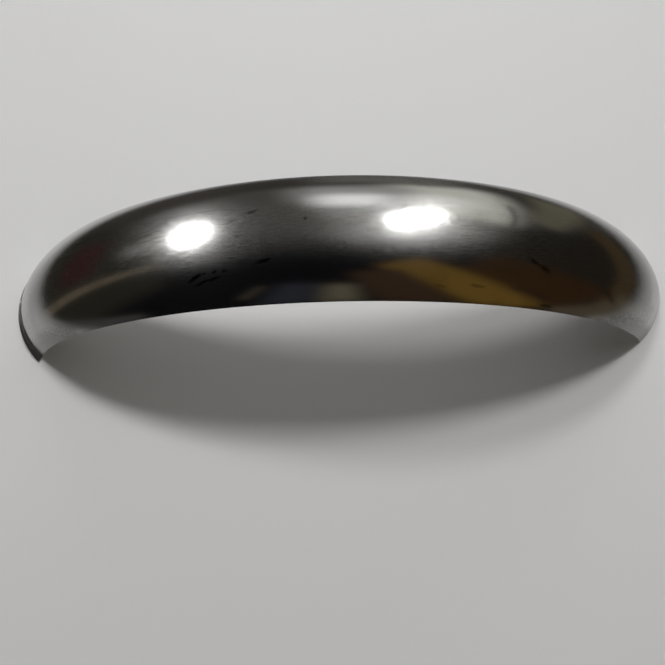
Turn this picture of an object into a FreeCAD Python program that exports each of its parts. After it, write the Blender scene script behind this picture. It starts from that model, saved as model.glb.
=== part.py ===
"""Motorcycle mudguard blade: one sheet of steel, domed across its width and rolled along the wheel's arc.

The blade stands on its two ends like a bridge. One end is a plain cut with rounded corners. The other is
turned out into a shallow stiffening lip, deepest at one corner and fading towards the other. There are
no holes: the fitter drills the blade for the fork bridge and the stays.
X runs along the blade towards the plain end, Y across it, and Z up through the middle of the crown.
"""

import FreeCAD
import Part

import math
import os

# Driving dimensions, in millimetres
BLADE_WIDTH = 102.0  # across the side edges, outside
EDGE_RADIUS = 339.0  # from the wheel's axle line to the outside of the side edges
SECTION_RADIUS = 68.0  # outside of the domed section
CROWN_LENGTH = 794.0  # along the outside of the crown, from the plain end to the start of the lip
SHEET = 1.2  # thickness of the steel
CORNER_RADIUS = 3.0  # rounded corners of the plain end
LIP_BEND_RADIUS = 0.6  # inside of the bend, on the blade's outer face
LIP_HEIGHT_DEEP_CORNER = 5.0  # above the blade's outer face
LIP_HEIGHT_MIDDLE = 1.8
LIP_HEIGHT_SHALLOW_CORNER = 1.5

# Sizes that follow from them
HALF_SECTION = math.asin(BLADE_WIDTH / 2 / SECTION_RADIUS)
SECTION_CENTRE = EDGE_RADIUS - SECTION_RADIUS * math.cos(HALF_SECTION)
INSIDE_RADIUS = SECTION_RADIUS - SHEET
CROWN_RADIUS = SECTION_CENTRE + SECTION_RADIUS
ARC_ANGLE = CROWN_LENGTH / CROWN_RADIUS
BEND_OUTSIDE_RADIUS = LIP_BEND_RADIUS + SHEET
BEND_CENTRE = SECTION_RADIUS + LIP_BEND_RADIUS
LIP_TALLEST = max(LIP_HEIGHT_DEEP_CORNER, LIP_HEIGHT_MIDDLE, LIP_HEIGHT_SHALLOW_CORNER)

AXLE = FreeCAD.Vector(0, 1, 0)
ALONG = FreeCAD.Vector(1, 0, 0)
ORIGIN = FreeCAD.Vector(0, 0, 0)


def plain_end_height(angle):
    """Lowest point of the plain end, above the axle line, when it lies at that angle from the crown."""
    corner = (SECTION_CENTRE + INSIDE_RADIUS * math.cos(HALF_SECTION)) * math.cos(angle)
    fall_along = math.sin(angle)
    fall_across = math.sin(HALF_SECTION) * math.cos(angle)
    rounded_off = CORNER_RADIUS * (fall_along + fall_across - math.hypot(fall_along, fall_across))
    return corner + rounded_off


def lip_end_height(angle):
    """Lowest point of the turned-out end, above the axle line, when its bend starts at that angle."""
    bend_centre = (SECTION_CENTRE + BEND_CENTRE * math.cos(HALF_SECTION)) * math.cos(angle)
    steepness = math.hypot(math.sin(angle), math.cos(HALF_SECTION) * math.cos(angle))
    return bend_centre - BEND_OUTSIDE_RADIUS * steepness


def level_plain_end():
    """The plain end's angle from the crown at which both ends stand on the same level."""
    low, high = 0.0, ARC_ANGLE
    while high - low > 1e-9:
        middle = (low + high) / 2
        if plain_end_height(middle) > lip_end_height(ARC_ANGLE - middle):
            low = middle
        else:
            high = middle
    return low


PLAIN_END_ANGLE = level_plain_end()
LIP_END_ANGLE = ARC_ANGLE - PLAIN_END_ANGLE


def across_section(radius, angle):
    """Point of the section at that angle from its middle, in the upright plane over the axle line."""
    height = SECTION_CENTRE + radius * math.cos(angle)
    return FreeCAD.Vector(0, radius * math.sin(angle), height)


def line(start, end):
    return Part.LineSegment(start, end).toShape()


def rolled_blade():
    """The domed section turned about the axle line, from the lip's bend to the plain end."""
    angles = (-HALF_SECTION, 0.0, HALF_SECTION)
    outside = [across_section(SECTION_RADIUS, angle) for angle in angles]
    inside = [across_section(INSIDE_RADIUS, angle) for angle in angles]
    rim = [
        Part.Arc(*outside).toShape(),
        line(outside[-1], inside[-1]),
        Part.Arc(*reversed(inside)).toShape(),
        line(inside[0], outside[0]),
    ]
    section = Part.Face(Part.Wire(rim))
    section.rotate(ORIGIN, AXLE, -math.degrees(LIP_END_ANGLE))
    return section.revolve(ORIGIN, AXLE, math.degrees(ARC_ANGLE))


def round_corners(blade):
    """Rounds the two corners of the plain end, each through the sheet."""
    turn = FreeCAD.Rotation(AXLE, math.degrees(PLAIN_END_ANGLE))
    mid_sheet = (INSIDE_RADIUS + SECTION_RADIUS) / 2
    corners = [turn.multVec(across_section(mid_sheet, side * HALF_SECTION)) for side in (-1, 1)]
    edges = [
        edge
        for edge in blade.Edges
        if any(edge.CenterOfMass.distanceToPoint(corner) < SHEET / 4 for corner in corners)
    ]
    return blade.makeFillet(CORNER_RADIUS, edges)


def lip_point(along, out):
    """Point of the lip's own section, from its distances past the bend's start and above the outer face."""
    return FreeCAD.Vector(-along, 0, CROWN_RADIUS + out)


def bent_sheet():
    """The sheet bent square outwards round the bend radius and carried up to the lip's tallest height."""
    slant = math.sqrt(0.5)
    bend_in = LIP_BEND_RADIUS
    bend_out = BEND_OUTSIDE_RADIUS
    inner = [lip_point(bend_in * s, bend_in - bend_in * c) for s, c in ((0, 1), (slant, slant), (1, 0))]
    outer = [lip_point(bend_out * s, bend_in - bend_out * c) for s, c in ((0, 1), (slant, slant), (1, 0))]
    inner_top = lip_point(bend_in, LIP_TALLEST)
    outer_top = lip_point(bend_out, LIP_TALLEST)
    rim = [
        Part.Arc(*outer).toShape(),
        line(outer[-1], outer_top),
        line(outer_top, inner_top),
        line(inner_top, inner[-1]),
        Part.Arc(*reversed(inner)).toShape(),
        line(inner[0], outer[0]),
    ]
    return Part.Face(Part.Wire(rim))


def lip_outline():
    """Round bar, along the blade, whose outside is the free edge that the lip is trimmed to."""
    heights = (LIP_HEIGHT_DEEP_CORNER, LIP_HEIGHT_MIDDLE, LIP_HEIGHT_SHALLOW_CORNER)
    angles = (-HALF_SECTION, 0.0, HALF_SECTION)
    points = [across_section(SECTION_RADIUS + height, angle) for height, angle in zip(heights, angles)]
    disc = Part.Face(Part.Wire(Part.Circle(*points).toShape()))
    disc.translate(ALONG * BEND_OUTSIDE_RADIUS)
    return disc.extrude(ALONG * (-3 * BEND_OUTSIDE_RADIUS))


def turned_out_lip():
    """The lip: the bent sheet carried all the way across the section and trimmed to its outline."""
    section_middle = FreeCAD.Vector(0, 0, SECTION_CENTRE)
    profile = bent_sheet()
    profile.rotate(section_middle, ALONG, -math.degrees(HALF_SECTION))
    lip = profile.revolve(section_middle, ALONG, 2 * math.degrees(HALF_SECTION))
    lip = lip.common(lip_outline())
    lip.rotate(ORIGIN, AXLE, -math.degrees(LIP_END_ANGLE))
    return lip


def mudguard_blade():
    """The whole blade on its two ends, with the origin at their level, straight below the crown's middle."""
    solid = round_corners(rolled_blade()).fuse(turned_out_lip()).removeSplitter()
    lowest = solid.optimalBoundingBox(False, False).ZMin
    solid.translate(FreeCAD.Vector(0, 0, -lowest))
    return solid


def main():
    os.makedirs("parts", exist_ok=True)
    blade = mudguard_blade()
    blade.exportStep("parts/mudguard_blade.step")
    print("solids", len(blade.Solids), "valid", blade.isValid(), "volume", round(blade.Volume, 1))


main()
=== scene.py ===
"""Motorcycle mudguard blade in bare polished steel, on a pale floor under soft studio lamps.

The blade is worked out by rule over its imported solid: the domed section is carried along the wheel's arc,
turned out into the lip at one end, rounded at the corners of the other and given the sheet's thickness.
X runs along the blade towards its plain end, Y across it and away from the camera, and Z up.
"""

import math
from collections import namedtuple

import bpy
from mathutils import Euler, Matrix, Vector


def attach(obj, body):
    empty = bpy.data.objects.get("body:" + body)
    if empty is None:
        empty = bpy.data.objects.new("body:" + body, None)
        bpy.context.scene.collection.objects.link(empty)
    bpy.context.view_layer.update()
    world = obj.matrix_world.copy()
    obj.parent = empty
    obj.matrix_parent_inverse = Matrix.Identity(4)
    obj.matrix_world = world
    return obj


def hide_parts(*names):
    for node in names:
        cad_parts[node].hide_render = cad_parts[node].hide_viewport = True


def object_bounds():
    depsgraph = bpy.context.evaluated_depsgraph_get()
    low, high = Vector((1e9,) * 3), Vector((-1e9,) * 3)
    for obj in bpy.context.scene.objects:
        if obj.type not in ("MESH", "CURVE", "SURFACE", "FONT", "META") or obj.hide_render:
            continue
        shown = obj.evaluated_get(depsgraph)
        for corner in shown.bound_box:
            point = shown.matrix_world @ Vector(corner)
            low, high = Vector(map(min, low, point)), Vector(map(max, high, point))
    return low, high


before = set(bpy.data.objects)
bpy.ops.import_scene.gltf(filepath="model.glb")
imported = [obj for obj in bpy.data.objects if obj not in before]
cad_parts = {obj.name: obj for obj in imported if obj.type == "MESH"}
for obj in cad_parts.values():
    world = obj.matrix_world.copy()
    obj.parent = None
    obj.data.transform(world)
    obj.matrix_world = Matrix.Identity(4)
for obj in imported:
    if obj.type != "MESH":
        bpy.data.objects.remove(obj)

bl_info = {
    "name": "Mudguard Blade",
    "version": (1, 0, 0),
    "blender": (4, 5, 0),
    "location": "View3D > Sidebar > Mudguard",
    "description": "Builds a steel mudguard blade and the stage that it stands on",
    "category": "Add Mesh",
}

CAD_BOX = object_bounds()
BODY = "root"
NODE = "mudguard_blade"
SLOT = "polished_steel"
SURFACE_MAP = "blade_surface"  # UV map: metres along the crown from the lip, and across from the middle
INSIDE_FACE = "inside_face"  # 1 on the face towards the wheel
CUT_EDGE = "cut_edge"  # 1 on the sheared edges
INNER_PLACE = "inner_place"  # where each point of the outer face lies on the inner face
MERGE_DISTANCE = 1e-6  # metres
SHARP_ANGLE = math.radians(40)  # an edge that turns by more than this stays sharp
ARRIS_STEPS = 2  # faces across a broken arris

# Marks on the outer face, in metres: along the crown from the lip, across from the middle, half the length
# and half the width, with how far each slants across as it goes along, and how dark it is
Mark = namedtuple("Mark", "along across half_length half_width slant darkness")
MARKS = (
    Mark(0.2884, -0.0306, 0.0055, 0.0014, 0.40, 1.0),
    Mark(0.2966, -0.0284, 0.0015, 0.0009, 0.00, 1.0),
    Mark(0.3051, -0.0278, 0.0016, 0.0010, 0.30, 1.0),
    Mark(0.2934, -0.0350, 0.0060, 0.0007, 0.30, 1.0),
    Mark(0.3041, -0.0330, 0.0050, 0.0010, 0.30, 1.0),
    Mark(0.3133, -0.0279, 0.0018, 0.0009, 0.00, 1.0),
    Mark(0.3447, -0.0231, 0.0050, 0.0012, 0.20, 1.0),
    Mark(0.3366, 0.0159, 0.0040, 0.0010, 0.30, 0.8),
    Mark(0.3771, 0.0073, 0.0012, 0.0010, 0.00, 0.8),
    Mark(0.3256, -0.0028, 0.0010, 0.0008, 0.00, 0.8),
    Mark(0.4809, -0.0440, 0.0040, 0.0010, -0.20, 0.3),
    Mark(0.5118, -0.0424, 0.0060, 0.0012, -0.10, 0.4),
    Mark(0.5593, -0.0195, 0.0045, 0.0014, -0.40, 0.7),
    Mark(0.5701, -0.0237, 0.0050, 0.0020, -0.30, 0.7),
    Mark(0.5837, -0.0531, 0.0060, 0.0013, 0.00, 0.7),
)

# Sizes of the patterns in the steel, in metres
LINE_LENGTH = 0.012  # polishing lines
LINE_WIDTH = 0.0004
LINE_DEPTH = 0.0000003
GRAIN_SIZE = 0.0003  # dull grains in the polish
PEPPER_SIZE = 0.0007  # coarser grains among them
PATCH_SIZE = 0.045  # worn and stained patches
SPECKLE_SIZE = 0.0026  # specks of dirt
PIT_SIZE = 0.0011
PITTED_PATCH_SIZE = 0.015  # patches in which the pits lie
WAVE_SIZE = 0.07  # slow waves that rolling leaves in the sheet
WAVE_DEPTH = 0.00012

# Where something starts to show and where it shows in full, in metres on the sheet
Fade = namedtuple("Fade", "start end")
LIP_START = Fade(0.0003, -0.0004)  # along the crown, at the start of the lip's bend
NEAR_CORNER_EDGE = Fade(0.022, 0.004)  # from the near side edge, for the dirt and painted shade by the ends' near corners
NEAR_CORNER_END = Fade(0.20, 0.08)  # from either end, for the same
DIRT_AND_SHADE_EDGE = Fade(0.004, 0.0)  # from the near side edge, all along it
DIRT_AND_SHADE_END = Fade(0.14, 0.04)  # from either end, all across it
RUBBED_CROWN = Fade(0.036, 0.014)  # across from the middle, to either side

# The same on the patterns' own values, which run from 0 to 1
STAINED = Fade(0.50, 0.75)
STAINED_INSIDE = Fade(0.40, 0.65)
DIRT_AND_SHADE_PATCHES = Fade(0.25, 0.50)
SPECKLED = Fade(0.30, 0.65)
WORN = Fade(0.50, 0.60)
PITS = Fade(0.70, 0.78)
PITTED = Fade(0.50, 0.68)

# Strengths of the patterns
SPECKLE_STRENGTH = (0.5, 1.2)  # dirt and painted shade between its specks and in them
DIRT_AND_SHADE_STRENGTH = 0.5  # dirt and painted shade all along the near edge and the ends, against that by the ends' near corners
LINE_SHARE = 0.15  # shares of the patterns in the worn polish
GRAIN_SHARE = 0.63
PEPPER_SHARE = 0.12
PATCH_SHARE = 0.10
SIDE_WEAR = 0.2  # wear towards the side edges, against the crown's
PIT_DARKNESS = 0.7
MARK_SPREAD = 0.5  # how fast a mark fades from its middle
MARK_RAGGEDNESS = 4.0  # how far its outline wanders
MARK_OUTLINE = Fade(2.9, 2.3)  # on its spread and its raggedness added up
LIP_ROUGHNESS = 0.3  # added to the polish's own
GRIME_ROUGHNESS = 0.1
CUT_ROUGHNESS = 0.1
INSIDE_PATCHINESS = 0.3  # how the inner face's roughness varies
INSIDE_STREAKS = 0.2
QUARTER_TURN = 0.25  # puts the wide spread of a reflection across the polishing lines

# Lamps that show only in the steel, and lamps that light only the floor: middle, width and height in
# metres, roll in degrees and power in watts
Lamp = namedtuple("Lamp", "name stands width height roll power shows")
LAMPS = (
    Lamp("left_softbox", (-1.75, 1.00, 1.63), 0.76, 0.36, 18, 70.0, "steel"),
    Lamp("right_softbox", (1.09, 1.37, 2.03), 0.40, 0.96, 0, 54.0, "steel"),
    Lamp("right_softbox_top", (0.92, 1.23, 2.27), 0.40, 0.26, 0, 15.0, "steel"),
    Lamp("long_shadow_lamp", (-0.50, 1.01, 1.90), 0.32, 0.32, 0, 10.5, "floor"),
    Lamp("short_shadow_lamp", (0.28, 0.74, 1.90), 0.32, 0.32, 0, 13.6, "floor"),
    Lamp("overhead_lamp", (0.0, 1.7, 1.7), 2.6, 2.6, 0, 7.5, "floor"),
)

# Soft flat cards round the blade, which show in the steel: azimuth from straight behind it towards the
# plain end, elevation, roll, half width, half height and softness in degrees, with the light each sends
Card = namedtuple("Card", "azimuth elevation roll half_width half_height softness colour")
CARDS = (
    Card(95, 0, 0, 38, 42, 16, (0.020, 0.017, 0.013)),
    Card(-85, -5, 0, 38, 36, 16, (0.027, 0.025, 0.019)),
    Card(-70, 24, 0, 6, 7, 12, (0.27, 0.27, 0.26)),
    Card(-34, 10, 0, 4, 8, 20, (0.40, 0.40, 0.39)),
    Card(49, 59, 0, 13, 20, 34, (0.70, 0.70, 0.69)),
    Card(10, 50, 0, 9, 8, 20, (0.46, 0.46, 0.45)),
    Card(32, 12.5, 36, 12, 25, 14, (0.80, 0.81, 0.73)),
    Card(25, 20, 0, 10, 9, 14, (1.20, 1.20, 1.15)),
    Card(47, -9, 25, 6, 20, 7, (0.15, 0.14, 0.10)),
    Card(48, 13.5, 42, 0.9, 15, 2, (0.06, 0.06, 0.06)),
    Card(8, -17, 0, 11, 9, 10, (0.170, 0.163, 0.150)),
    Card(4, 17, 0, 13, 15, 14, (0.46, 0.46, 0.45)),
    Card(5, 29, 0, 9, 10, 13, (1.60, 1.60, 1.62)),
    Card(85, -18, 0, 28, 6, 6, (0.063, 0.042, 0.021)),
    Card(118, -21, -20, 18, 8, 7, (0.105, 0.084, 0.055)),
    Card(118, 15, 0, 16, 25, 10, (0.041, 0.021, 0.009)),
    Card(142, 25, 0, 10, 33, 9, (0.166, 0.097, 0.021)),
    Card(129, 7, 12, 0.9, 8, 2.5, (0.012, 0.009, 0.008)),
    Card(105, -14, -30, 1.0, 5, 2, (0.010, 0.008, 0.007)),
    Card(162, 22, 0, 9, 29, 9, (0.045, 0.027, 0.016)),
    Card(180, 20, 0, 5, 14, 8, (0.140, 0.125, 0.085)),
    Card(-168, 20, 0, 6, 16, 10, (0.032, 0.034, 0.044)),
    Card(-156, 23, 0, 1.5, 9, 4, (0.055, 0.045, 0.033)),
    Card(-122, -22, 33, 20, 8, 6, (0.070, 0.067, 0.063)),
    Card(-96, 0, 0, 3, 33, 2, (0.152, 0.126, 0.090)),
    Card(-73, -3, 0, 14, 9, 7, (0.041, 0.016, 0.015)),
)

# Where the room's light changes, on the backward and upward parts of a direction of length 1
BEHIND_BLADE = Fade(-0.35, 0.45)  # backward
BELOW_LEVEL = Fade(0.05, -0.12)  # upward
LOW_BEHIND = Fade(-0.1, 0.2)  # backward, for the light from below the floor's level

EVEN_LIGHT_SPREAD = math.radians(120)
SENSOR_WIDTH = 36.0  # millimetres
NEAREST_SEEN = 0.01  # metres from the camera


def length(name, description, default):
    """A size in metres."""
    return bpy.props.FloatProperty(
        name=name, description=description, default=default, min=0.0, precision=5, unit="LENGTH"
    )


def share(name, description, default):
    """A value from 0 to 1."""
    return bpy.props.FloatProperty(
        name=name, description=description, default=default, min=0.0, max=1.0, subtype="FACTOR"
    )


def count(name, description, default):
    """A whole number of cells."""
    return bpy.props.IntProperty(name=name, description=description, default=default, min=2)


def colour(name, description, default):
    """A colour in linear light."""
    return bpy.props.FloatVectorProperty(
        name=name, description=description, default=default, min=0.0, max=1.0, subtype="COLOR"
    )


def place(name, description, default):
    """A point in metres."""
    return bpy.props.FloatVectorProperty(
        name=name, description=description, default=default, subtype="TRANSLATION"
    )


class MudguardBladeSizes(bpy.types.PropertyGroup):
    """The blade's driving dimensions."""

    width: length("Width", "Across the side edges, outside", 0.102)
    edge_radius: length("Edge radius", "From the axle line to the outside of the side edges", 0.339)
    section_radius: length("Section radius", "Outside of the domed section", 0.068)
    crown_length: length("Crown length", "Along the crown, from the plain end to the lip", 0.794)
    sheet: length("Sheet", "Thickness of the steel", 0.0012)
    corner_radius: length("Corner radius", "Rounded corners of the plain end", 0.003)
    lip_bend_radius: length("Lip bend radius", "Inside of the lip's bend", 0.0006)
    lip_deep: length("Lip, deep corner", "Height of the lip above the outer face", 0.005)
    lip_middle: length("Lip, middle", "Height of the lip above the outer face", 0.0018)
    lip_shallow: length("Lip, shallow corner", "Height of the lip above the outer face", 0.0015)
    edge_break: length("Edge break", "Width of the dulled arris along every cut edge", 0.0003)
    cells_along: count("Cells along", "Cells of the mesh along the crown", 280)
    cells_across: count("Cells across", "Cells of the mesh across the blade", 72)
    lip_rows: count("Lip rows", "Cells of the mesh round the lip's bend and up its height", 12)


class MudguardSteelFinish(bpy.types.PropertyGroup):
    """The finish of the bare steel."""

    steel: colour("Steel", "Polished steel", (0.43, 0.425, 0.415))
    dull_steel: colour("Dull steel", "Steel on the inner face, which isn't polished", (0.34, 0.335, 0.33))
    dull_stain: colour("Dull stain", "Darker patches on the inner face", (0.24, 0.23, 0.215))
    stain: colour("Stain", "Thin film of oil that darkens the polish in patches", (0.36, 0.345, 0.325))
    # Very dark colour set on the lip's outer face
    scale: colour("Scale", "Dark scale on the lip, which the polish doesn't reach", (0.085, 0.08, 0.075))
    # Dirt by the near side edge and the ends, together with painted shade that darkens the steel most by
    # the ends' near corners
    grime_and_shade: colour("Grime", "Dirt along the near side edge and at the ends", (0.16, 0.155, 0.15))
    mark: colour("Mark", "Dark marks and pits in the polish", (0.045, 0.042, 0.04))
    polish: share("Polish", "Roughness of the polished face", 0.12)
    haze: share("Haze", "Roughness of the dull lines and grains in the polish", 0.31)
    inside: share("Inside", "Roughness of the inner face", 0.36)
    grain: share("Grain", "How far the polishing lines spread a reflection across the blade", 0.70)


class MudguardStudio(bpy.types.PropertyGroup):
    """The floor, the lamps and the camera."""

    floor: colour("Floor", "Pale matt floor", (0.74, 0.74, 0.74))
    floor_middle: place("Floor middle", "Middle of the floor that shows in the steel", (-0.02, -0.085, 0.0))
    floor_edge: length("Floor edge", "How far the pale floor shows in the steel, from its middle", 0.345)
    floor_fade: length("Floor fade", "Over which it fades", 0.16)
    floor_near: length("Floor near", "From the blade to where the floor starts to fade out", 0.7)
    floor_far: length("Floor far", "From the blade to where it has become the backdrop", 2.2)
    front: colour("Front", "Light from the camera's side, seen in the steel", (0.005, 0.005, 0.006))
    behind: colour("Behind", "Light from behind the blade, seen in the steel", (0.10, 0.095, 0.088))
    low: colour("Low", "Light from below the floor's level, seen past its edge", (0.055, 0.050, 0.045))
    backdrop: colour("Backdrop", "What the camera sees past the floor", (0.80, 0.80, 0.80))
    even_light: bpy.props.FloatProperty(
        name="Even light",
        description="Light straight down on the floor, in watts on a square metre",
        default=0.08,
        min=0.0,
    )
    camera_place: place("Camera", "Where the camera stands", (0.0106, -0.1875, 0.6817))
    camera_turn: bpy.props.FloatVectorProperty(
        name="Camera turn",
        description="How the camera is turned from looking straight down",
        default=[math.radians(angle) for angle in (12.776, 1.590, -1.208)],
        subtype="EULER",
    )
    camera_lens: bpy.props.FloatProperty(
        name="Lens", description="Focal length on a 36 mm sensor", default=37.33, min=1.0, unit="CAMERA"
    )


class Field:
    """A value in a node tree. Arithmetic with it adds the Math nodes that work it out."""

    def __init__(self, tree, socket):
        self.tree = tree
        self.socket = socket

    def work_out(self, operation, *values):
        maths = node(self.tree, "ShaderNodeMath", enumerate(values), operation=operation)
        return Field(self.tree, maths.outputs[0])

    def __add__(self, other):
        return self.work_out("ADD", self, other)

    def __radd__(self, other):
        return self.work_out("ADD", other, self)

    def __sub__(self, other):
        return self.work_out("SUBTRACT", self, other)

    def __rsub__(self, other):
        return self.work_out("SUBTRACT", other, self)

    def __mul__(self, other):
        return self.work_out("MULTIPLY", self, other)

    def __rmul__(self, other):
        return self.work_out("MULTIPLY", other, self)

    def __truediv__(self, other):
        return self.work_out("DIVIDE", self, other)

    def __abs__(self):
        return self.work_out("ABSOLUTE", self)

    def above(self, least):
        return self.work_out("MAXIMUM", self, least)

    def below(self, most):
        return self.work_out("MINIMUM", self, most)

    def sine(self):
        return self.work_out("SINE", self)

    def cosine(self):
        return self.work_out("COSINE", self)

    def arcsine(self):
        return self.work_out("ARCSINE", self)

    def arctangent(self, other):
        return self.work_out("ARCTAN2", self, other)

    def square(self):
        return self.work_out("MULTIPLY", self, self)

    def root(self):
        return self.work_out("SQRT", self)

    def ramp(self, start, end, low=0.0, high=1.0, kind="SMOOTHSTEP"):
        """Goes from low at start to high at end, and stays there."""
        sizes = {"Value": self, "From Min": start, "From Max": end, "To Min": low, "To Max": high}
        ranged = node(self.tree, "ShaderNodeMapRange", sizes.items(), interpolation_type=kind)
        return Field(self.tree, ranged.outputs[0])


def feed(tree, socket, value):
    """Links a field or an output to a socket, or sets a plain value on it."""
    if isinstance(value, Field):
        tree.links.new(value.socket, socket)
    elif isinstance(value, bpy.types.NodeSocket):
        tree.links.new(value, socket)
    else:
        socket.default_value = value


def node(tree, kind, inputs=(), **settings):
    """Adds a node with its settings, and feeds the inputs that are named or numbered."""
    made = tree.nodes.new(kind)
    for name, value in settings.items():
        setattr(made, name, value)
    for name, value in inputs:
        feed(tree, made.inputs[name], value)
    return made


def parts_of(tree, vector):
    """The three components of a vector."""
    split = node(tree, "ShaderNodeSeparateXYZ", [(0, vector)])
    return [Field(tree, output) for output in split.outputs]


def vector_of(tree, *components):
    """A vector made of three components."""
    return node(tree, "ShaderNodeCombineXYZ", enumerate(components)).outputs[0]


def mixed_colour(tree, amount, first, second):
    """The first colour, giving way to the second as the amount goes from 0 to 1."""
    inputs = [(0, amount), (6, first), (7, second)]  # 6 and 7 take colours, and output 2 gives one
    return node(tree, "ShaderNodeMix", inputs, data_type="RGBA").outputs[2]


def opaque(rgb):
    """The colour as a node's socket takes it, with nothing showing through."""
    return (*rgb, 1.0)


# The blade's shape

def circle_through(first, second, third):
    """Middle and radius of the circle through three points of a plane."""
    to_second = second - first
    to_third = third - first
    doubled_area = 2 * (to_second.x * to_third.y - to_second.y * to_third.x)
    reach_x = to_third.y * to_second.length_squared - to_second.y * to_third.length_squared
    reach_y = to_second.x * to_third.length_squared - to_third.x * to_second.length_squared
    reach = Vector((reach_x, reach_y)) / doubled_area
    return first + reach, reach.length


def half_section_angle(sizes):
    """Half the angle that the domed section spans."""
    return math.asin(sizes.width / 2 / sizes.section_radius)


def blade_inputs(sizes):
    """The sizes that the blade's node tree takes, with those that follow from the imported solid."""
    half_section = half_section_angle(sizes)
    crown_radius = sizes.edge_radius + sizes.section_radius * (1 - math.cos(half_section))
    angles = (-half_section, 0.0, half_section)
    heights = (sizes.lip_deep, sizes.lip_middle, sizes.lip_shallow)
    outline = [
        Vector((math.sin(angle), math.cos(angle))) * (sizes.section_radius + height)
        for angle, height in zip(angles, heights)
    ]
    outline_middle, outline_radius = circle_through(*outline)
    return {
        "width": sizes.width,
        "edge_radius": sizes.edge_radius,
        "section_radius": sizes.section_radius,
        "crown_length": sizes.crown_length,
        "sheet": sizes.sheet,
        "corner_radius": sizes.corner_radius,
        "lip_bend_radius": sizes.lip_bend_radius,
        "outline_across": outline_middle.x,
        "outline_up": outline_middle.y,
        "outline_radius": outline_radius,
        "plain_end_angle": math.asin(CAD_BOX[1].x / crown_radius),
        "axle_height": CAD_BOX[1].z - crown_radius,
        "cells_along": sizes.cells_along,
        "cells_across": sizes.cells_across,
        "lip_rows": sizes.lip_rows,
    }


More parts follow.
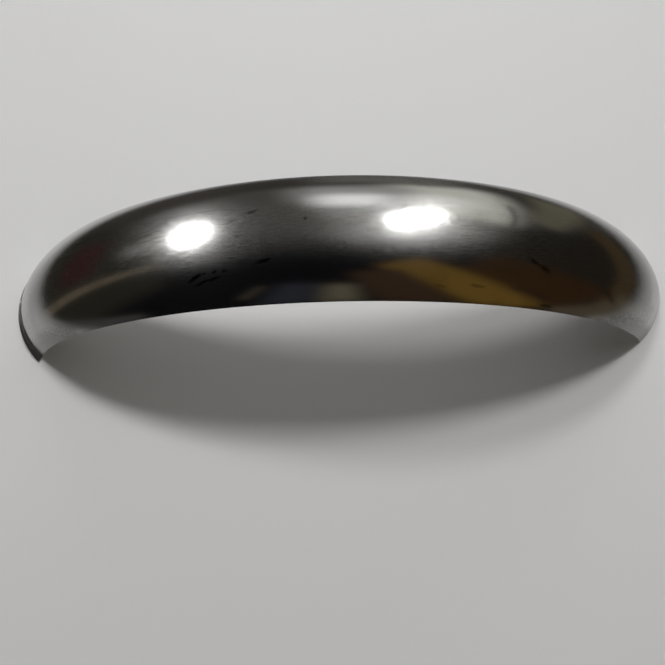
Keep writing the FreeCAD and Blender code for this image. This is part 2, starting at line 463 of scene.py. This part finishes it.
class BladeTree:
    """The geometry nodes that make the blade from its sizes."""

    COLUMN_CROWDING = 1.4  # radians: columns of the mesh crowd towards the side edges along a sine
    CORNER_RUN = 6.0  # corner radii over which the mesh draws back to a rounded corner

    def __init__(self, values):
        self.tree = bpy.data.node_groups.new("blade_shape", "GeometryNodeTree")
        self.sockets = {name: self.add_input(name, value) for name, value in values.items()}
        material = self.tree.interface.new_socket("steel", in_out="INPUT", socket_type="NodeSocketMaterial")
        self.sockets["steel"] = material
        self.tree.interface.new_socket("blade", in_out="OUTPUT", socket_type="NodeSocketGeometry")
        given = self.tree.nodes.new("NodeGroupInput")
        self.given = {name: Field(self.tree, given.outputs[name]) for name in self.sockets}
        self.section()
        sheet = self.thickened(self.joined(self.rolled_sheet(), self.lip_sheet()))
        self.finish(sheet)

    def add_input(self, name, value):
        """A socket for one of the sizes, which is a count or a measure."""
        kind = "NodeSocketInt" if isinstance(value, int) else "NodeSocketFloat"
        return self.tree.interface.new_socket(name, in_out="INPUT", socket_type=kind)

    def section(self):
        """The section's half angle, its middle's distance from the axle line, and the arc's angles."""
        given = self.given
        self.half_section = (given["width"] / (given["section_radius"] * 2)).arcsine()
        self.middle = given["edge_radius"] - given["section_radius"] * self.half_section.cosine()
        self.arc = given["crown_length"] / (self.middle + given["section_radius"])
        self.lip_angle = given["plain_end_angle"] - self.arc

    def grid(self, cells_along):
        """A flat grid, how far each point is along it, from 0 to 1, and its angle round the section."""
        corners = [("Vertices X", cells_along + 1), ("Vertices Y", self.given["cells_across"] + 1)]
        flat = node(self.tree, "GeometryNodeMeshGrid", [("Size X", 1.0), ("Size Y", 1.0), *corners])
        position = node(self.tree, "GeometryNodeInputPosition").outputs[0]
        x, y, _ = parts_of(self.tree, position)
        crowded = (y * (2 * self.COLUMN_CROWDING)).sine() / math.sin(self.COLUMN_CROWDING)
        return flat.outputs["Mesh"], x + 0.5, crowded * self.half_section

    def point(self, angle, across, radius, past_end=0.0):
        """A point at its angles round the axle and the section, moved straight on past the lip's end."""
        out = self.middle + radius * across.cosine()
        x = out * angle.sine() - past_end * angle.cosine()
        z = out * angle.cosine() + past_end * angle.sine() + self.given["axle_height"]
        return vector_of(self.tree, x, radius * across.sine(), z)

    def stored(self, mesh, name, value, data_type, domain):
        """The mesh with a named attribute on it."""
        inputs = [("Geometry", mesh), ("Name", name), ("Value", value)]
        kind = "GeometryNodeStoreNamedAttribute"
        return node(self.tree, kind, inputs, data_type=data_type, domain=domain).outputs[0]

    def laid(self, mesh, outer, inner, along, across):
        """The grid moved to the outer face, holding its places on the inner face and on the surface map."""
        surface = vector_of(self.tree, along, across * self.given["section_radius"], 0.0)
        mesh = self.stored(mesh, SURFACE_MAP, surface, "FLOAT2", "CORNER")
        mesh = self.stored(mesh, INNER_PLACE, inner, "FLOAT_VECTOR", "POINT")
        moved = node(self.tree, "GeometryNodeSetPosition", [("Geometry", mesh), ("Position", outer)])
        return moved.outputs[0]

    def rolled_sheet(self):
        """The domed section along the wheel's arc, with the plain end's corners rounded."""
        given = self.given
        mesh, along, across = self.grid(given["cells_along"])
        corner = given["corner_radius"]
        from_edge = given["section_radius"] * (self.half_section - abs(across))
        inside_corner = (corner - from_edge).above(0.0)
        drawn_back = corner - (corner.square() - inside_corner.square()).root()
        near_end = (1.0 - (1.0 - along) * given["crown_length"] / (corner * self.CORNER_RUN)).above(0.0)
        angle = self.lip_angle + self.arc * along - drawn_back * near_end / given["edge_radius"]
        outer = self.point(angle, across, given["section_radius"])
        inner = self.point(angle, across, given["section_radius"] - given["sheet"])
        return self.laid(mesh, outer, inner, along * given["crown_length"], across)

    def lip_sheet(self):
        """The sheet turned out round its bend and up to the lip's outline."""
        given = self.given
        mesh, along, across = self.grid(given["lip_rows"])
        stage = (1.0 - along) * 2  # 0 to 1 round the bend, and 1 to 2 up the lip
        bend = stage.below(1.0) * (math.pi / 2)
        rise = (stage - 1.0).above(0.0)
        towards = given["outline_across"] * across.sine() + given["outline_up"] * across.cosine()
        offset = given["outline_across"].square() + given["outline_up"].square()
        outline = towards + (given["outline_radius"].square() - offset + towards.square()).root()
        bend_middle = given["section_radius"] + given["lip_bend_radius"]
        raised = bend_middle + rise * (outline - bend_middle)
        places = []
        for bend_radius in (given["lip_bend_radius"], given["lip_bend_radius"] + given["sheet"]):
            radius = raised - bend_radius * bend.cosine()
            places.append(self.point(self.lip_angle, across, radius, bend_radius * bend.sine()))
        along_lip = stage * given["lip_bend_radius"] * -2  # below 0, which tells the lip from the crown
        return self.laid(mesh, *places, along_lip, across)

    def joined(self, *meshes):
        """The meshes as one, with the points that meet made one."""
        join = node(self.tree, "GeometryNodeJoinGeometry")
        for mesh in meshes:
            self.tree.links.new(mesh, join.inputs[0])
        inputs = [("Geometry", join.outputs[0]), ("Distance", MERGE_DISTANCE)]
        return node(self.tree, "GeometryNodeMergeByDistance", inputs).outputs[0]

    def thickened(self, outer):
        """The outer face closed by an inner one and by the cut edges between them."""
        inputs = [("Mesh", outer), ("Offset Scale", 0.0), ("Individual", False)]
        drawn = node(self.tree, "GeometryNodeExtrudeMesh", inputs)
        mesh = self.stored(drawn.outputs["Mesh"], INSIDE_FACE, drawn.outputs["Top"], "FLOAT", "FACE")
        mesh = self.stored(mesh, CUT_EDGE, drawn.outputs["Side"], "FLOAT", "FACE")
        name = [("Name", INNER_PLACE)]
        inner = node(self.tree, "GeometryNodeInputNamedAttribute", name, data_type="FLOAT_VECTOR")
        inputs = [("Geometry", mesh), ("Selection", drawn.outputs["Top"]), ("Position", inner.outputs[0])]
        moved = node(self.tree, "GeometryNodeSetPosition", inputs)
        turned = node(self.tree, "GeometryNodeFlipFaces", [("Mesh", moved.outputs[0])])
        return self.joined(outer, turned.outputs[0])

    def finish(self, mesh):
        """Smooth shading between the sharp edges, and the steel."""
        smooth = node(self.tree, "GeometryNodeSetShadeSmooth", [("Geometry", mesh)], domain="FACE")
        angle = node(self.tree, "GeometryNodeInputMeshEdgeAngle").outputs[0]
        angles = [("A", angle), ("B", SHARP_ANGLE)]
        is_smooth = node(self.tree, "FunctionNodeCompare", angles, operation="LESS_THAN")
        inputs = [("Geometry", smooth.outputs[0]), ("Shade Smooth", is_smooth.outputs[0])]
        edged = node(self.tree, "GeometryNodeSetShadeSmooth", inputs, domain="EDGE")
        inputs = [("Geometry", edged.outputs[0]), ("Name", INNER_PLACE)]
        cleared = node(self.tree, "GeometryNodeRemoveAttribute", inputs)
        real = node(self.tree, "GeometryNodeRealizeInstances", [("Geometry", cleared.outputs[0])])
        inputs = [("Geometry", real.outputs[0]), ("Material", self.given["steel"])]
        dressed = node(self.tree, "GeometryNodeSetMaterial", inputs)
        result = self.tree.nodes.new("NodeGroupOutput")
        self.tree.links.new(dressed.outputs[0], result.inputs["blade"])


def made_by_nodes(name, shape, values):
    """A plain mesh object from a geometry tree, with each size set before the tree first runs."""
    maker = bpy.data.objects.new(name + "_maker", bpy.data.meshes.new(name + "_maker"))
    bpy.context.scene.collection.objects.link(maker)
    modifier = maker.modifiers.new(name, "NODES")
    modifier.node_group = shape.tree
    for size, value in values.items():
        modifier[shape.sockets[size].identifier] = value
    evaluated = maker.evaluated_get(bpy.context.evaluated_depsgraph_get())
    mesh = bpy.data.meshes.new_from_object(evaluated)
    mesh.name = name
    maker.modifiers.remove(modifier)
    bpy.data.objects.remove(maker)
    piece = bpy.data.objects.new(name, mesh)
    bpy.context.scene.collection.objects.link(piece)
    return piece


# The steel's finish

def noise(tree, vector, size, detail=2.0, roughness=0.5):
    """Smooth random values from 0 to 1, in features of about that size."""
    inputs = [("Vector", vector), ("Scale", 1 / size), ("Detail", detail), ("Roughness", roughness)]
    return Field(tree, node(tree, "ShaderNodeTexNoise", inputs).outputs[0])


def face_attribute(tree, name):
    """A value that the blade's faces hold."""
    return Field(tree, node(tree, "ShaderNodeAttribute", attribute_name=name).outputs["Fac"])


def bump(tree, height, depth, under=None):
    """A normal that follows a height from 0 to 1, of that depth in metres, over another one."""
    inputs = [("Strength", 1.0), ("Distance", depth), ("Height", height)]
    if under:
        inputs.append(("Normal", under))
    return node(tree, "ShaderNodeBump", inputs).outputs[0]


class SteelTree:
    """The shader nodes of steel polished along its length: sharp along the blade and spread across it."""

    def __init__(self, finish, half_arc, crown_length):
        self.finish = finish
        self.material = bpy.data.materials.new(SLOT)
        self.material.use_nodes = True
        self.tree = self.material.node_tree
        self.tree.nodes.clear()
        self.places(half_arc, crown_length)
        self.patterns()
        self.grime_and_shade = self.dirt_and_shade()
        self.metal(self.colours(), self.roughness(), self.relief())

    def places(self, half_arc, crown_length):
        """Where each point lies on the sheet, and on which of its faces."""
        self.surface = node(self.tree, "ShaderNodeUVMap", uv_map=SURFACE_MAP).outputs[0]
        self.along, self.across, _ = parts_of(self.tree, self.surface)
        self.from_edge = half_arc + self.across
        self.from_end = self.along.below(crown_length - self.along)
        self.inside = face_attribute(self.tree, INSIDE_FACE)
        self.cut = face_attribute(self.tree, CUT_EDGE)
        self.lip = self.along.ramp(*LIP_START)

    def patterns(self):
        """Patterns that run over the whole sheet, from 0 to 1."""
        drawn_out = vector_of(self.tree, self.along / LINE_LENGTH, self.across / LINE_WIDTH, 0.0)
        self.lines = noise(self.tree, drawn_out, 1.0, detail=3.0)
        self.grains = noise(self.tree, self.surface, GRAIN_SIZE, detail=1.0)
        self.pepper = noise(self.tree, self.surface, PEPPER_SIZE, detail=1.0)
        self.patches = noise(self.tree, self.surface, PATCH_SIZE, detail=4.0, roughness=0.6)

    def dirt_and_shade(self):
        """Dirt by the near side edge and the ends, in specks and patches, with painted shade that darkens
        the steel most by the ends' near corners.
        """
        near_corners = self.from_edge.ramp(*NEAR_CORNER_EDGE) * self.from_end.ramp(*NEAR_CORNER_END)
        along_edge_and_ends = (self.from_edge.ramp(*DIRT_AND_SHADE_EDGE) + self.from_end.ramp(*DIRT_AND_SHADE_END)) * DIRT_AND_SHADE_STRENGTH
        speckle = noise(self.tree, self.surface, SPECKLE_SIZE, detail=3.0)
        specks = speckle.ramp(*SPECKLED, *SPECKLE_STRENGTH)
        dirt_and_shade = (near_corners + along_edge_and_ends) * self.patches.ramp(*DIRT_AND_SHADE_PATCHES) * specks
        return dirt_and_shade.below(1.0) * (1.0 - self.cut)

    def dark_marks(self):
        """1 on the outer face's marks, which have ragged outlines, and less on its pits."""
        ragged = noise(self.tree, self.surface, PIT_SIZE, detail=3.0) * MARK_RAGGEDNESS
        marks = 0.0
        for mark in MARKS:
            past = self.along - mark.along
            aside = self.across - mark.across - past * mark.slant
            reach = (past / mark.half_length).square() + (aside / mark.half_width).square()
            marks = (reach * MARK_SPREAD + ragged).ramp(*MARK_OUTLINE) * mark.darkness + marks
        pits = noise(self.tree, self.surface, PIT_SIZE, detail=1.0).ramp(*PITS)
        pitted = noise(self.tree, self.surface, PITTED_PATCH_SIZE).ramp(*PITTED)
        return (marks + pits * pitted * PIT_DARKNESS).below(1.0) * (1.0 - self.inside)

    def colours(self):
        """The outer face's steel under its stains, its soiling and painted shade, the lip's very dark
        colour and its marks, and the inner face's steel.
        """
        tree = self.tree
        finish = self.finish
        stained = self.patches.ramp(*STAINED)
        outer = mixed_colour(tree, stained, opaque(finish.steel), opaque(finish.stain))
        # dirt, with painted shade darkest by the ends' near corners
        outer = mixed_colour(tree, self.grime_and_shade, outer, opaque(finish.grime_and_shade))
        # the lip's very dark colour
        outer = mixed_colour(tree, self.lip * (1.0 - self.cut), outer, opaque(finish.scale))
        outer = mixed_colour(tree, self.dark_marks(), outer, opaque(finish.mark))
        stained = self.patches.ramp(*STAINED_INSIDE)
        inner = mixed_colour(tree, stained, opaque(finish.dull_steel), opaque(finish.dull_stain))
        return mixed_colour(tree, self.inside, outer, inner)

    def roughness(self):
        """The polish, hazy in its worn grains, and rougher on the lip, in dirt and on the inner face."""
        finish = self.finish
        grains = self.lines * LINE_SHARE + self.grains * GRAIN_SHARE + self.pepper * PEPPER_SHARE
        rubbed = abs(self.across).ramp(*RUBBED_CROWN, SIDE_WEAR, 1.0)
        worn = (grains + self.patches * PATCH_SHARE).ramp(*WORN) * rubbed
        polish = worn.ramp(0.0, 1.0, finish.polish, finish.haze, "LINEAR")
        outer = polish + self.lip * LIP_ROUGHNESS + self.grime_and_shade * GRIME_ROUGHNESS
        varied = (self.patches - 0.5) * INSIDE_PATCHINESS + (self.lines - 0.5) * INSIDE_STREAKS
        inner = finish.inside + varied
        return outer + (inner - outer) * self.inside + self.cut * CUT_ROUGHNESS

    def relief(self):
        """A normal that follows the polishing lines over the slow waves."""
        waves = noise(self.tree, self.surface, WAVE_SIZE, detail=1.0)
        return bump(self.tree, self.lines, LINE_DEPTH, bump(self.tree, waves, WAVE_DEPTH))

    def metal(self, colours, roughness, relief):
        """The metal itself, whose reflections spread across the polishing lines."""
        tangent = node(self.tree, "ShaderNodeTangent", direction_type="UV_MAP", uv_map=SURFACE_MAP)
        inputs = [
            ("Base Color", colours),
            ("Metallic", 1.0),
            ("Roughness", roughness),
            ("Normal", relief),
            ("Anisotropic", self.finish.grain),
            ("Anisotropic Rotation", QUARTER_TURN),
            ("Tangent", tangent.outputs[0]),
        ]
        steel = node(self.tree, "ShaderNodeBsdfPrincipled", inputs)
        output = self.tree.nodes.new("ShaderNodeOutputMaterial")
        self.tree.links.new(steel.outputs[0], output.inputs["Surface"])


class MUDGUARD_OT_build_blade(bpy.types.Operator):
    """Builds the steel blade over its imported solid"""

    bl_idname = "mudguard.build_blade"
    bl_label = "Build the blade"

    def execute(self, context):
        sizes = context.scene.mudguard_blade_sizes
        values = blade_inputs(sizes)
        shape = BladeTree(values)
        half_arc = sizes.section_radius * half_section_angle(sizes)
        steel = SteelTree(context.scene.mudguard_steel_finish, half_arc, sizes.crown_length)
        values["steel"] = steel.material
        blade = made_by_nodes("steel_blade", shape, values)
        arris = blade.modifiers.new("edge_break", "BEVEL")
        arris.width = sizes.edge_break
        arris.segments = ARRIS_STEPS
        arris.limit_method = "ANGLE"
        arris.angle_limit = SHARP_ANGLE
        arris.harden_normals = True
        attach(blade, BODY)
        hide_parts(NODE)
        return {"FINISHED"}


# The stage

def pale_floor(studio):
    """A matt floor that fades into the backdrop far off, and shows in the steel only near the blade."""
    material = bpy.data.materials.new("pale_floor")
    material.use_nodes = True
    tree = material.node_tree
    tree.nodes.clear()
    position = node(tree, "ShaderNodeNewGeometry").outputs["Position"]
    x, y, _ = parts_of(tree, position)
    middle = studio.floor_middle
    reach = ((x - middle.x).square() + (y - middle.y).square()).root()
    past_edge = reach.ramp(studio.floor_edge, studio.floor_edge + studio.floor_fade)
    from_blade = (x.square() + y.square()).root()
    far_off = from_blade.ramp(studio.floor_near, studio.floor_far)
    path = node(tree, "ShaderNodeLightPath")
    in_steel = Field(tree, path.outputs["Is Glossy Ray"])
    in_camera = Field(tree, path.outputs["Is Camera Ray"])
    matt = node(tree, "ShaderNodeBsdfDiffuse", [("Color", opaque(studio.floor))])
    clear = node(tree, "ShaderNodeBsdfTransparent")
    shown = [(0, past_edge * in_steel), (1, matt.outputs[0]), (2, clear.outputs[0])]
    mix = node(tree, "ShaderNodeMixShader", shown)
    haze = node(tree, "ShaderNodeEmission", [("Color", opaque(studio.backdrop))])
    shown = [(0, far_off * in_camera), (1, mix.outputs[0]), (2, haze.outputs[0])]
    faded = node(tree, "ShaderNodeMixShader", shown)
    output = tree.nodes.new("ShaderNodeOutputMaterial")
    tree.links.new(faded.outputs[0], output.inputs["Surface"])
    return material


def add_floor(studio, half_size=3.0, gap=0.0002):
    """The floor, just below the blade's lowest points."""
    low = CAD_BOX[0].z - gap
    corners = [(x * half_size, y * half_size, low) for x, y in ((-1, -1), (1, -1), (1, 1), (-1, 1))]
    mesh = bpy.data.meshes.new("floor")
    mesh.from_pydata(corners, [], [(0, 1, 2, 3)])
    mesh.materials.append(pale_floor(studio))
    floor = bpy.data.objects.new("floor", mesh)
    bpy.context.scene.collection.objects.link(floor)


def add_lamp(lamp):
    """A soft lamp that faces the blade and shows in the steel or on the floor alone."""
    light = bpy.data.lights.new(lamp.name, "AREA")
    light.shape = "ELLIPSE"
    light.size = lamp.width
    light.size_y = lamp.height
    light.energy = lamp.power
    stand = bpy.data.objects.new(lamp.name, light)
    stand.location = lamp.stands
    facing = (-Vector(lamp.stands)).to_track_quat("-Z", "Y")
    stand.rotation_euler = (facing @ Euler((0.0, 0.0, math.radians(lamp.roll))).to_quaternion()).to_euler()
    stand.visible_camera = False
    stand.visible_diffuse = lamp.shows == "floor"
    stand.visible_glossy = lamp.shows == "steel"
    bpy.context.scene.collection.objects.link(stand)


def add_even_light(studio):
    """Weak light straight down that lights the floor alone, out to its far edges."""
    light = bpy.data.lights.new("even_light", "SUN")
    light.energy = studio.even_light
    light.angle = EVEN_LIGHT_SPREAD
    stand = bpy.data.objects.new("even_light", light)
    stand.visible_camera = False
    stand.visible_glossy = False
    bpy.context.scene.collection.objects.link(stand)


def card_shape(tree, direction, card):
    """1 in the directions that meet a card, fading to 0 at its soft edge."""
    angles = [math.radians(angle) for angle in (card.elevation, card.roll, -card.azimuth)]
    reaches = []
    for axis in Euler(angles, "YXZ").to_matrix().col:
        dot = node(tree, "ShaderNodeVectorMath", [(0, direction), (1, axis)], operation="DOT_PRODUCT")
        reaches.append(Field(tree, dot.outputs["Value"]))
    right, ahead, up = reaches
    soft = math.radians(card.softness) / 2
    past_side = abs(right.arctangent(ahead)) - math.radians(card.half_width)
    past_top = abs(up.arctangent(ahead)) - math.radians(card.half_height)
    return past_side.ramp(soft, -soft) * past_top.ramp(soft, -soft)


def room_light(studio):
    """Dim light from behind the blade with the cards in it, which the camera sees as a plain backdrop."""
    world = bpy.data.worlds.new("room")
    bpy.context.scene.world = world
    world.use_nodes = True
    tree = world.node_tree
    tree.nodes.clear()
    direction = node(tree, "ShaderNodeTexCoord").outputs["Generated"]
    _, behind, up = parts_of(tree, direction)
    light = mixed_colour(tree, behind.ramp(*BEHIND_BLADE), opaque(studio.front), opaque(studio.behind))
    low_behind = up.ramp(*BELOW_LEVEL) * behind.ramp(*LOW_BEHIND)
    light = mixed_colour(tree, low_behind, light, opaque(studio.low))
    for card in CARDS:
        light = mixed_colour(tree, card_shape(tree, direction, card), light, opaque(card.colour))
    lit = node(tree, "ShaderNodeBackground", [("Color", light)])
    seen = node(tree, "ShaderNodeBackground", [("Color", opaque(studio.backdrop))])
    path = node(tree, "ShaderNodeLightPath")
    shown = [(0, path.outputs["Is Camera Ray"]), (1, lit.outputs[0]), (2, seen.outputs[0])]
    mix = node(tree, "ShaderNodeMixShader", shown)
    output = tree.nodes.new("ShaderNodeOutputWorld")
    tree.links.new(mix.outputs[0], output.inputs["Surface"])


def add_camera(studio):
    """The camera at the photograph's viewing angle."""
    camera_data = bpy.data.cameras.new("camera")
    camera_data.sensor_width = SENSOR_WIDTH
    camera_data.lens = studio.camera_lens
    camera_data.clip_start = NEAREST_SEEN
    camera = bpy.data.objects.new("camera", camera_data)
    camera.location = studio.camera_place
    camera.rotation_euler = Euler(studio.camera_turn, "XYZ")
    bpy.context.scene.collection.objects.link(camera)
    bpy.context.scene.camera = camera


class MUDGUARD_OT_set_stage(bpy.types.Operator):
    """Sets the floor, the lamps, the room's light and the camera"""

    bl_idname = "mudguard.set_stage"
    bl_label = "Set the stage"

    def execute(self, context):
        studio = context.scene.mudguard_studio
        add_floor(studio)
        for lamp in LAMPS:
            add_lamp(lamp)
        add_even_light(studio)
        room_light(studio)
        add_camera(studio)
        context.scene.view_settings.view_transform = "Standard"
        return {"FINISHED"}


class MUDGUARD_PT_sidebar(bpy.types.Panel):
    """Lists the steps in the order in which they run."""

    bl_label = "Mudguard blade"
    bl_space_type = "VIEW_3D"
    bl_region_type = "UI"
    bl_category = "Mudguard"

    def draw(self, context):
        layout = self.layout
        for group in (context.scene.mudguard_blade_sizes, context.scene.mudguard_steel_finish):
            for name in group.__annotations__:
                layout.prop(group, name)
        layout.operator(MUDGUARD_OT_build_blade.bl_idname)
        studio = context.scene.mudguard_studio
        for name in studio.__annotations__:
            layout.prop(studio, name)
        layout.operator(MUDGUARD_OT_set_stage.bl_idname)


CLASSES = (
    MudguardBladeSizes,
    MudguardSteelFinish,
    MudguardStudio,
    MUDGUARD_OT_build_blade,
    MUDGUARD_OT_set_stage,
    MUDGUARD_PT_sidebar,
)
SETTINGS = {
    "mudguard_blade_sizes": MudguardBladeSizes,
    "mudguard_steel_finish": MudguardSteelFinish,
    "mudguard_studio": MudguardStudio,
}


def register():
    for each in CLASSES:
        bpy.utils.register_class(each)
    for name, group in SETTINGS.items():
        setattr(bpy.types.Scene, name, bpy.props.PointerProperty(type=group))


def unregister():
    for name in SETTINGS:
        delattr(bpy.types.Scene, name)
    for each in reversed(CLASSES):
        bpy.utils.unregister_class(each)


def main():
    """Builds the blade and its stage."""
    register()
    bpy.ops.mudguard.build_blade()
    bpy.ops.mudguard.set_stage()


if __name__ == "__main__":
    main()
